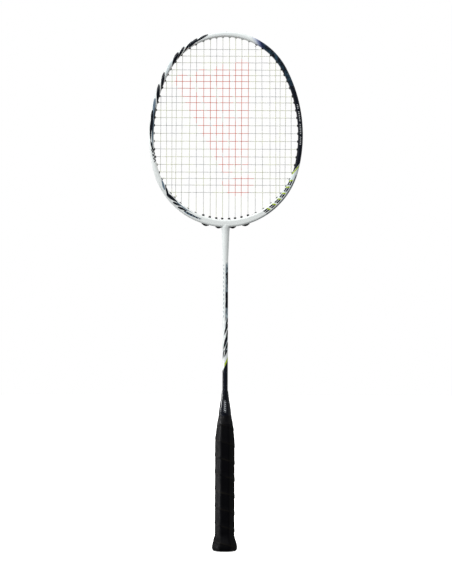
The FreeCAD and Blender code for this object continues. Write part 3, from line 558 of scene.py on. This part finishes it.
def shaft_paint():
    finish = Finish("shaft_paint", Roughness=0.35, Specular_IOR_Level=0.14, Coat_Weight=0.08,
                    Coat_Roughness=0.05)
    tree = finish.tree
    across, through, up = place(tree)
    coats = Coats(tree, WHITE_PAINT)
    wander = grain(tree, (up * 0.09, 0.0, 0.0), 1.0, 2)
    panel = (across + wander * 1.6).ramp(0.7, 1.1).both(up.within(*PANEL_RANGE, 4))
    mottle = grain(tree, (across * 0.5, through * 0.5, up * 0.17), 1.0, 3)
    coats.add(panel, SLATE)
    coats.add(panel.both(mottle.ramp(0.54, 0.60)), PALE_BLUE)
    coats.add(panel.both(mottle.ramp(0.42, 0.36).either(up.within(*LOW_PATCH, 2))), INK)
    coats.add(up.within(*HIGH_PATCH, 2).both(across.ramp(1.2, 1.6)), INK)
    dashes = up.wave(DASH_PITCH).ramp(1.2, 1.4).both(across.within(*DASH_ACROSS, 0.2))
    coats.add(dashes.both(up.within(*PANEL_RANGE)) * 0.7, SLATE)
    front = through.ramp(1.0, 0.4)
    coats.add(strokes(across, up, SHAFT_GREY).both(front), PALE_BLUE)
    coats.add(strokes(across, up, SHAFT_INK).both(front), INK)
    boundary = up - across * BLACK_SLANT
    flash = boundary.within(BLACK_LEVEL, BLACK_LEVEL + FLASH_WIDTH, 0.3)
    coats.add(flash.both(across.above(FLASH_START)), LIME)
    coats.add(boundary.ramp(BLACK_LEVEL, BLACK_LEVEL - 0.4), INK)
    finish.paint(coats)
    lacquer(finish)
    return finish.material


# ---------------------------------------------------------------- strings

# Stencil of a shuttlecock, millimetres: the skirt's figures are measured from the cork's centre.
CORK_CENTRE = (16.0, 482.0)
CORK_RADIUS = 21.0
CORK_TOP = 4.0
TILT = math.radians(14)
SKIRT_START = 12.0
SKIRT_END = 152.0
SKIRT_FOCUS = 52.0
SKIRT_SPREAD = 0.26
SKIRT_SCALLOP = 44.0
FEATHERS = 4
VANE_SHARE = 0.41


def shuttlecock(across, up):
    """A stencil of a leaning shuttlecock: round cork, a gap, then a fan of separate feathers."""
    right = across - CORK_CENTRE[0]
    rise = up - CORK_CENTRE[1]
    off = right.times_plus(math.cos(TILT), rise * math.sin(TILT))
    along = rise.times_plus(math.cos(TILT), right * -math.sin(TILT))
    cork = (along * along + off * off).math("SQRT").below(CORK_RADIUS).both(along.below(CORK_TOP))
    turn = off.math("ARCTAN2", along + SKIRT_FOCUS)
    feather = (turn + SKIRT_SPREAD) * (FEATHERS / (2 * SKIRT_SPREAD))
    middle = feather.math("FRACT") - 0.5
    tip = (middle * middle).times_plus(-SKIRT_SCALLOP, SKIRT_END)
    shown = along.above(SKIRT_START).both((tip - along).above(0))
    vane = middle.size().below(VANE_SHARE)
    skirt = shown.both(vane).both(turn.size().below(SKIRT_SPREAD))
    return cork.either(skirt)


def string_finish():
    finish = Finish("string_nylon", Roughness=0.38, Specular_IOR_Level=0.45)
    tree = finish.tree
    across, through, up = place(tree)
    coats = Coats(tree, STRING_GREY)
    tint = grain(tree, (across, 0.0, up), 0.05, 1).ramp(0.42, 0.58)
    coats.add(tint, STRING_CREAM)
    coats.add(shuttlecock(across, up), STENCIL_RED)
    finish.paint(coats)
    twist = (across + up + through * 2).wave(0.5) * 2
    finish.relief(twist, 0.02)
    return finish.material


# ---------------------------------------------------------------- plastics, wood, steel, grip

def grommet_plastic(name, colour, rough):
    finish = Finish(name, colour, Specular_IOR_Level=0.4)
    speck = grain(finish.tree, place(finish.tree), 1.2, 3)
    finish.rough(speck.times_plus(0.2, rough - 0.1))
    finish.relief(speck, 0.04)
    return finish.material


CAP_TICK_RANGE = (181.0, 196.0)
CAP_TICK_PITCH = 2.6
CAP_TICK_SLANT = 0.6
CAP_TICK_ACROSS = (-1.3, 1.3)


def cap_gloss():
    finish = Finish("cap_gloss", Roughness=0.22, Specular_IOR_Level=0.12, Coat_Weight=0.2,
                    Coat_Roughness=0.06)
    tree = finish.tree
    across, through, up = place(tree)
    coats = Coats(tree, CAP_BLACK)
    slanted = up + across * CAP_TICK_SLANT
    stripes = slanted.wave(CAP_TICK_PITCH).ramp(0.70, 0.85)
    ticks = stripes.both(slanted.within(*CAP_TICK_RANGE, 0.1))
    front = through.below(0).both(across.within(*CAP_TICK_ACROSS, 0.2))
    coats.add(ticks.both(front) * 0.8, TICK_SILVER)
    finish.paint(coats)
    finish.relief(grain(tree, (across, through, up), 0.5, 1), 0.02)
    return finish.material


def tape_finish():
    finish = Finish("finish_tape", Specular_IOR_Level=0.10)
    tree = finish.tree
    across, through, up = place(tree)
    coats = Coats(tree, TAPE_BLACK)
    dust = grain(tree, (across, through, up), 0.3, 2).ramp(0.4, 0.7)
    coats.add(dust * 0.5, TAPE_DUST)
    finish.paint(coats)
    finish.rough(grain(tree, (across, through, up), 0.6, 2).times_plus(0.25, 0.30))
    threads = up.wave(0.5).either(across.wave(0.5))
    finish.relief(threads, 0.05)
    return finish.material


def grip_finish():
    finish = Finish("grip_wrap", Specular_IOR_Level=0.06)
    tree = finish.tree
    across, through, up = place(tree)
    spot = (across, through, up)
    coats = Coats(tree, GRIP_BLACK)
    cloud = grain(tree, spot, 0.12, 3).ramp(0.35, 0.70)
    coats.add(cloud, GRIP_CLOUD)
    # Painted highlight: a lighter brown band just above each overlapping edge of the spiral, patchy
    # with the cloud.
    edge_sheen = wrap_phase(across, through, up).ramp(0.13, 0.02).both(cloud)
    coats.add(edge_sheen * 0.7, GRIP_EDGE_SHEEN)
    finish.paint(coats)
    finish.rough(cloud.times_plus(-0.12, 0.50))
    cells = pebbles(tree, spot, 1.4)
    creases = grain(tree, (across, through, up * 2), 0.5, 3)
    finish.relief(cells.times_plus(0.7, creases * 0.9), 0.16)
    return finish.material


def core_wood():
    finish = Finish("handle_wood", Roughness=0.6)
    tree = finish.tree
    across, through, up = place(tree)
    rings = grain(tree, (across, through, up * 0.03), 0.35, 4)
    coats = Coats(tree, WOOD)
    coats.add(rings.wave(0.12).ramp(0.01, 0.05), WOOD_RING)
    finish.paint(coats)
    finish.relief(rings, 0.1)
    return finish.material


def tack_steel():
    finish = Finish("tack_steel", TACK_STEEL, Metallic=1.0)
    across, through, up = place(finish.tree)
    finish.rough(grain(finish.tree, (across, through, up * 4), 2.0, 2).times_plus(0.3, 0.2))
    return finish.material


# ---------------------------------------------------------------- grip shape

# The spiral: heights in millimetres, rise, fall and groove as shares of one turn's pitch.
WRAP_PITCH = 21.9
WRAP_EDGE = 146.0
LIP_HEIGHT = 0.55
LIP_RISE = 0.022
LIP_FALL = 0.30
GROOVE_DEPTH = 0.16
GROOVE_SHARE = 0.05
CROWN_HEIGHT = 0.10
UNEVEN_HEIGHT = 0.12
LIP_FADE = 7

# The mesh: points round a ring, step between rings, and how sharp the octagon's corners are.
COLUMNS = 160
ROW_STEP = 0.45
CORNER_SHARPNESS = 26


def wrap_phase(across, through, up):
    """0 just above each overlapping edge of the spiral, 1 just below the next."""
    turn = through.math("ARCTAN2", across) / (2 * math.pi)
    return ((up - WRAP_EDGE) / WRAP_PITCH + turn - 0.5).math("FRACT")


def smooth(share):
    share = min(max(share, 0), 1)
    return share * share * (3 - 2 * share)


def grip_half_width(level):
    """Half the wrapped handle's width at a level."""
    if level >= GRIP_SHOULDER:
        share = (level - GRIP_SHOULDER) / (GRIP_TOP - GRIP_SHOULDER)
        return (GRIP_WIDTH - (GRIP_WIDTH - GRIP_TOP_WIDTH) * share ** 1.25) / 2
    if level >= FLARE_LEVEL:
        share = smooth((FLARE_START - level) / (FLARE_START - FLARE_LEVEL))
        return (GRIP_WIDTH + (FLARE_WIDTH - GRIP_WIDTH) * share) / 2
    share = (FLARE_LEVEL - level) / (FLARE_LEVEL - GRIP_FOOT)
    inset = (FLARE_WIDTH - FOOT_WIDTH) * (1 - math.sqrt(max(0, 1 - share * share)))
    return (FLARE_WIDTH - inset) / 2


def octagon_reach(turn, half):
    """Distance from the axis to the handle's softly rounded octagon of that half width."""
    deep = half * GRIP_DEPTH / GRIP_WIDTH
    bevel = half * 2 * GRIP_BEVEL / GRIP_WIDTH
    slant = (half + deep - bevel) / math.sqrt(2)
    total = 0
    for number in range(8):
        distance = slant if number % 2 else (half, deep)[number // 2 % 2]
        facing = math.cos(turn - number * math.pi / 4)
        total += (max(facing, 0) / distance) ** CORNER_SHARPNESS
    return total ** (-1 / CORNER_SHARPNESS)


def lip(turn, level):
    """Height of the overlapping spiral edge, of the tape's crown, and of its small unevenness."""
    phase = ((level - WRAP_EDGE) / WRAP_PITCH + turn / (2 * math.pi) - 0.5) % 1
    edge = smooth(phase / LIP_RISE) * (1 - smooth((phase - LIP_RISE) / LIP_FALL))
    groove = smooth((phase - (1 - GROOVE_SHARE)) / GROOVE_SHARE)
    crown = math.sin(math.pi * phase) * CROWN_HEIGHT
    spot = Vector((math.cos(turn) * 2.2, math.sin(turn) * 2.2, level * 0.09))
    uneven = noise.noise(spot) * UNEVEN_HEIGHT
    strength = smooth((level - FLARE_LEVEL) / LIP_FADE)
    return (edge * LIP_HEIGHT - groove * GROOVE_DEPTH + crown + uneven) * strength


def ring(reach, level):
    """One ring of points, whose distance from the axis is a function of the turn."""
    turns = (2 * math.pi * i / COLUMNS for i in range(COLUMNS))
    return [(reach(turn) * math.cos(turn), reach(turn) * math.sin(turn), level)
            for turn in turns]


def skin(name, rings, crease_degrees=50):
    """A closed mesh through rings of equal count, the last joined to the first."""
    points = [Vector(point) * MM for loop in rings for point in loop]
    faces = []
    for i in range(len(rings)):
        here, above = i * COLUMNS, (i + 1) % len(rings) * COLUMNS
        for j in range(COLUMNS):
            beside = (j + 1) % COLUMNS
            faces.append((here + j, here + beside, above + beside, above + j))
    mesh = bpy.data.meshes.new(name)
    mesh.from_pydata(points, [], faces)
    work = bmesh.new()
    work.from_mesh(mesh)
    bmesh.ops.recalc_face_normals(work, faces=work.faces)
    work.to_mesh(mesh)
    work.free()
    mesh.shade_smooth()
    mesh.set_sharp_from_angle(angle=math.radians(crease_degrees))
    obj = bpy.data.objects.new(name, mesh)
    bpy.context.scene.collection.objects.link(obj)
    return obj


# The wrap's foot and inside, and the gap round the end plate, millimetres except the rings.
FOOT_RINGS = 9
INSIDE_LEVELS = (GRIP_TOP, GRIP_SHOULDER, FLARE_START, 14.0, 8.0, FLARE_LEVEL)
PLATE_HALF_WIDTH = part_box("butt_cap")[1].x / MM
PLATE_GAP = 0.15
PLATE_CHAMFER = 0.5


def grip_outside(level):
    half = grip_half_width(level)
    return ring(lambda turn: octagon_reach(turn, half) + lip(turn, level), level)


def octagon_ring(half, level):
    return ring(lambda turn: octagon_reach(turn, half), level)


def make_grip():
    """The wrap: round the foot, up the outside, down the inside, and out beside the end plate."""
    rings = []
    for i in range(FOOT_RINGS):
        swing = math.pi / 2 * (1 - i / FOOT_RINGS)
        rings.append(grip_outside(FLARE_LEVEL - (FLARE_LEVEL - GRIP_FOOT) * math.sin(swing)))
    rows = round((GRIP_TOP - FLARE_LEVEL) / ROW_STEP)
    for i in range(rows + 1):
        rings.append(grip_outside(FLARE_LEVEL + (GRIP_TOP - FLARE_LEVEL) * i / rows))
    for level in INSIDE_LEVELS:
        rings.append(octagon_ring(grip_half_width(level) - GRIP_WALL, level))
    for level in (GRIP_FOOT + 2, GRIP_FOOT + PLATE_CHAMFER):
        rings.append(octagon_ring(PLATE_HALF_WIDTH + PLATE_GAP, level))
    rings.append(octagon_ring(PLATE_HALF_WIDTH + PLATE_CHAMFER, GRIP_FOOT))
    return skin("grip_wrap", rings)


# Finishing tape: millimetres, except the rows, the slope and the share.
TAPE_ROWS = 22
TAPE_LAP = 1.2
TAPE_THICKNESS = 0.14
TAPE_CUT_END = 0.16
TAPE_EDGE_DROP = 0.10
TAPE_LAP_SLOPE = 0.12
TAPE_DEPTH = 0.45
TAPE_FIRST_SHARE = 0.15


def tape_reach(turn, level):
    """The finishing tape's surface: the grip's octagon below, round above, with its cut end."""
    share = (level - GRIP_TOP) / (BAND_TOP - GRIP_TOP)
    octagon = octagon_reach(turn, GRIP_TOP_WIDTH / 2)
    roundness = smooth(TAPE_FIRST_SHARE + (1 - TAPE_FIRST_SHARE) * share)
    base = octagon + (CAP_BAND_RADIUS - octagon) * roundness
    end = TAPE_CUT_END * (1 - turn / (2 * math.pi))
    return base + TAPE_THICKNESS + end


def make_tape():
    """The tape's outside from its lap over the grip to its top edge, then its inside."""
    foot = GRIP_TOP - TAPE_LAP
    rings = []
    for i in range(TAPE_ROWS + 1):
        level = foot + (BAND_TOP - GRIP_TOP + TAPE_LAP) * i / TAPE_ROWS
        held = max(level, GRIP_TOP)
        drop = TAPE_EDGE_DROP if i in (0, TAPE_ROWS) else 0.0
        lap = (GRIP_TOP - min(level, GRIP_TOP)) * TAPE_LAP_SLOPE
        rings.append(ring(lambda turn: tape_reach(turn, held) - drop + lap, level))
    for level in (BAND_TOP, foot):
        held = max(level, GRIP_TOP)
        rings.append(ring(lambda turn: tape_reach(turn, held) - TAPE_DEPTH, level))
    return skin("finishing_band", rings)


# Cone cap: rows of the sweep and of the rolled rim, millimetres, and the sweep's eased share.
CAP_ROWS = 40
RIM_ROWS = 5
RIM_HEIGHT = 0.4
SWEEP_EVEN = 0.28
BORE_CHAMFER = 0.3
BORE_DEPTH = 10


def sweep_radius(share):
    """Radius of the cone at a share of its height above the tape."""
    narrowing = (1 - SWEEP_EVEN) * share ** 1.25 + SWEEP_EVEN * smooth(share)
    return CAP_BAND_RADIUS - (CAP_BAND_RADIUS - CAP_TOP_RADIUS) * narrowing


def make_cap():
    """The cone cap: straight under the tape, then one smooth sweep up to a rolled rim."""
    rim_foot = CAP_TOP - RIM_HEIGHT
    rim_middle = (CAP_BORE + CAP_TOP_RADIUS) / 2
    profile = [(CAP_FOOT_RADIUS, CAP_FOOT), (CAP_BAND_RADIUS, BAND_TOP - 1.0)]
    for i in range(CAP_ROWS + 1):
        share = i / CAP_ROWS
        profile.append((sweep_radius(share), BAND_TOP + (rim_foot - BAND_TOP) * share))
    for i in range(1, RIM_ROWS + 1):
        swing = math.pi / 2 * i / RIM_ROWS
        profile.append((rim_middle + (CAP_TOP_RADIUS - rim_middle) * math.cos(swing),
                        rim_foot + RIM_HEIGHT * math.sin(swing)))
    profile += [(CAP_BORE, CAP_TOP - BORE_CHAMFER), (CAP_BORE, CAP_TOP - BORE_DEPTH),
                (CAP_BAND_RADIUS - CAP_WALL, BAND_TOP), (CAP_FOOT_RADIUS - CAP_WALL, CAP_FOOT)]
    rings = [ring(lambda turn: radius, level) for radius, level in profile]
    return skin("cone_shell", rings)


def add_piece(piece, finish, node):
    piece.data.materials.append(finish)
    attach(piece, BODY)
    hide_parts(node)


# ---------------------------------------------------------------- dressing the pieces

def dress(name, finish):
    mesh = nodes[name].data
    mesh.materials.clear()
    mesh.materials.append(finish)


def dress_all():
    string = string_finish()
    grommet = grommet_plastic("grommet_plastic", GROMMET_BLACK, 0.38)
    pale = grommet_plastic("grommet_pale", GROMMET_PALE, 0.38)
    saddle = grommet_plastic("saddle_plastic", SADDLE_BLACK, 0.34)
    butt = grommet_plastic("butt_plastic", BUTT_BLACK, 0.45)
    cap = cap_gloss()
    tape = tape_finish()
    wrap = grip_finish()
    finishes = {"head_frame": frame_paint(), "t_joint": joint_paint(), "shaft": shaft_paint(),
                "handle_core": core_wood(), "grip_tack": tack_steel(), "butt_cap": butt,
                "cone_cap": cap, "finishing_tape": tape, "base_grip": wrap,
                "grommets_top": pale}
    for name in nodes:
        if name in finishes:
            dress(name, finishes[name])
        elif name.startswith("grommets"):
            dress(name, grommet)
        elif name.startswith("throat_saddle"):
            dress(name, saddle)
        else:
            dress(name, string)
    add_piece(make_grip(), wrap, "base_grip")
    add_piece(make_tape(), tape, "finishing_tape")
    add_piece(make_cap(), cap, "cone_cap")


# ---------------------------------------------------------------- camera, floor and light

# Metres: VIEW_HEIGHT of the racket's plane fills the height of the view.
CAMERA_DISTANCE = 4.0
SENSOR = 36
VIEW_HEIGHT = 0.7588
CAMERA_LEVEL = 0.3369
CAMERA_ACROSS = 0.0008
CAMERA_ROLL = -0.195
FLOOR_RADIUS = 6
FLOOR_DROP = 0.5 * MM


def make_camera():
    data = bpy.data.cameras.new("camera")
    camera = bpy.data.objects.new("camera", data)
    bpy.context.scene.collection.objects.link(camera)
    camera.location = (CAMERA_ACROSS, -CAMERA_DISTANCE, CAMERA_LEVEL)
    camera.rotation_euler = (math.radians(90), math.radians(CAMERA_ROLL), 0)
    data.sensor_width = SENSOR
    data.lens = SENSOR * CAMERA_DISTANCE / VIEW_HEIGHT
    bpy.context.scene.camera = camera


def make_floor():
    """A white floor that only the camera sees, so that it doesn't light the racket from below."""
    mesh = bpy.data.meshes.new("floor")
    work = bmesh.new()
    bmesh.ops.create_circle(work, cap_ends=True, segments=64, radius=FLOOR_RADIUS)
    work.to_mesh(mesh)
    work.free()
    floor = bpy.data.objects.new("floor", mesh)
    bpy.context.scene.collection.objects.link(floor)
    floor.location.z = cad_box[0].z - FLOOR_DROP
    finish = Finish("floor", FLOOR_WHITE, Roughness=0.9, Emission_Color=(1, 1, 1, 1),
                    Emission_Strength=1.0)
    mesh.materials.append(finish.material)
    floor.visible_diffuse = False
    floor.visible_glossy = False


# The sky's brightness over directions weighted across, through and up.
SKY_DIM = 0.14
SKY_RISE = 0.98
SKY_RANGE = (-0.7, 0.5)
SKY_TILT = (-0.07, 0.7, 0.30)
STRIP_SPREAD = 16


def make_world():
    """A white backdrop; the light comes from a dome that is dim toward the camera's side."""
    world = bpy.data.worlds.new("studio")
    bpy.context.scene.world = world
    world.use_nodes = True
    tree = world.node_tree
    coordinates = tree.nodes.new("ShaderNodeTexCoord")
    split = tree.nodes.new("ShaderNodeSeparateXYZ")
    tree.links.new(coordinates.outputs["Generated"], split.inputs[0])
    across, through, up = (Field(tree, output) for output in split.outputs)
    toward = through.both(0) * SKY_TILT[1] + across * SKY_TILT[0] + up * SKY_TILT[2]
    dome = toward.ramp(*SKY_RANGE).times_plus(SKY_RISE, SKY_DIM)
    rays = tree.nodes.new("ShaderNodeLightPath")
    level = dome.either(Field(tree, rays.outputs["Is Camera Ray"]))
    sky = tree.nodes["Background"]
    sky.inputs["Color"].default_value = (1, 1, 1, 1)
    tree.links.new(level.socket, sky.inputs["Strength"])


def softbox(name, location, target, size, power, spread=180):
    """A rectangular lamp: metres, watts, and degrees of spread."""
    data = bpy.data.lights.new(name, "AREA")
    data.shape = "RECTANGLE"
    data.size, data.size_y = size
    data.energy = power
    data.spread = math.radians(spread)
    lamp = bpy.data.objects.new(name, data)
    bpy.context.scene.collection.objects.link(lamp)
    lamp.location = location
    lamp.rotation_euler = (Vector(target) - Vector(location)).to_track_quat("-Z", "Y").to_euler()


def make_lights():
    """A large key light, and two narrow strips that reach only the handle and the cone."""
    softbox("key", location=(-1.6, -1.9, 2.3), target=(0, 0, 0.5), size=(2.4, 2.4), power=88)
    softbox("side_strip", location=(-0.9, -0.16, 0.09), target=(0, 0, 0.09), size=(0.4, 0.14),
            power=0.19, spread=STRIP_SPREAD)
    softbox("cone_strip", location=(-0.9, 0.06, 0.37), target=(0, 0, 0.178), size=(0.14, 0.14),
            power=0.04, spread=STRIP_SPREAD)


make_camera()
dress_all()
make_floor()
make_world()
make_lights()
bpy.context.scene.view_settings.view_transform = "Standard"
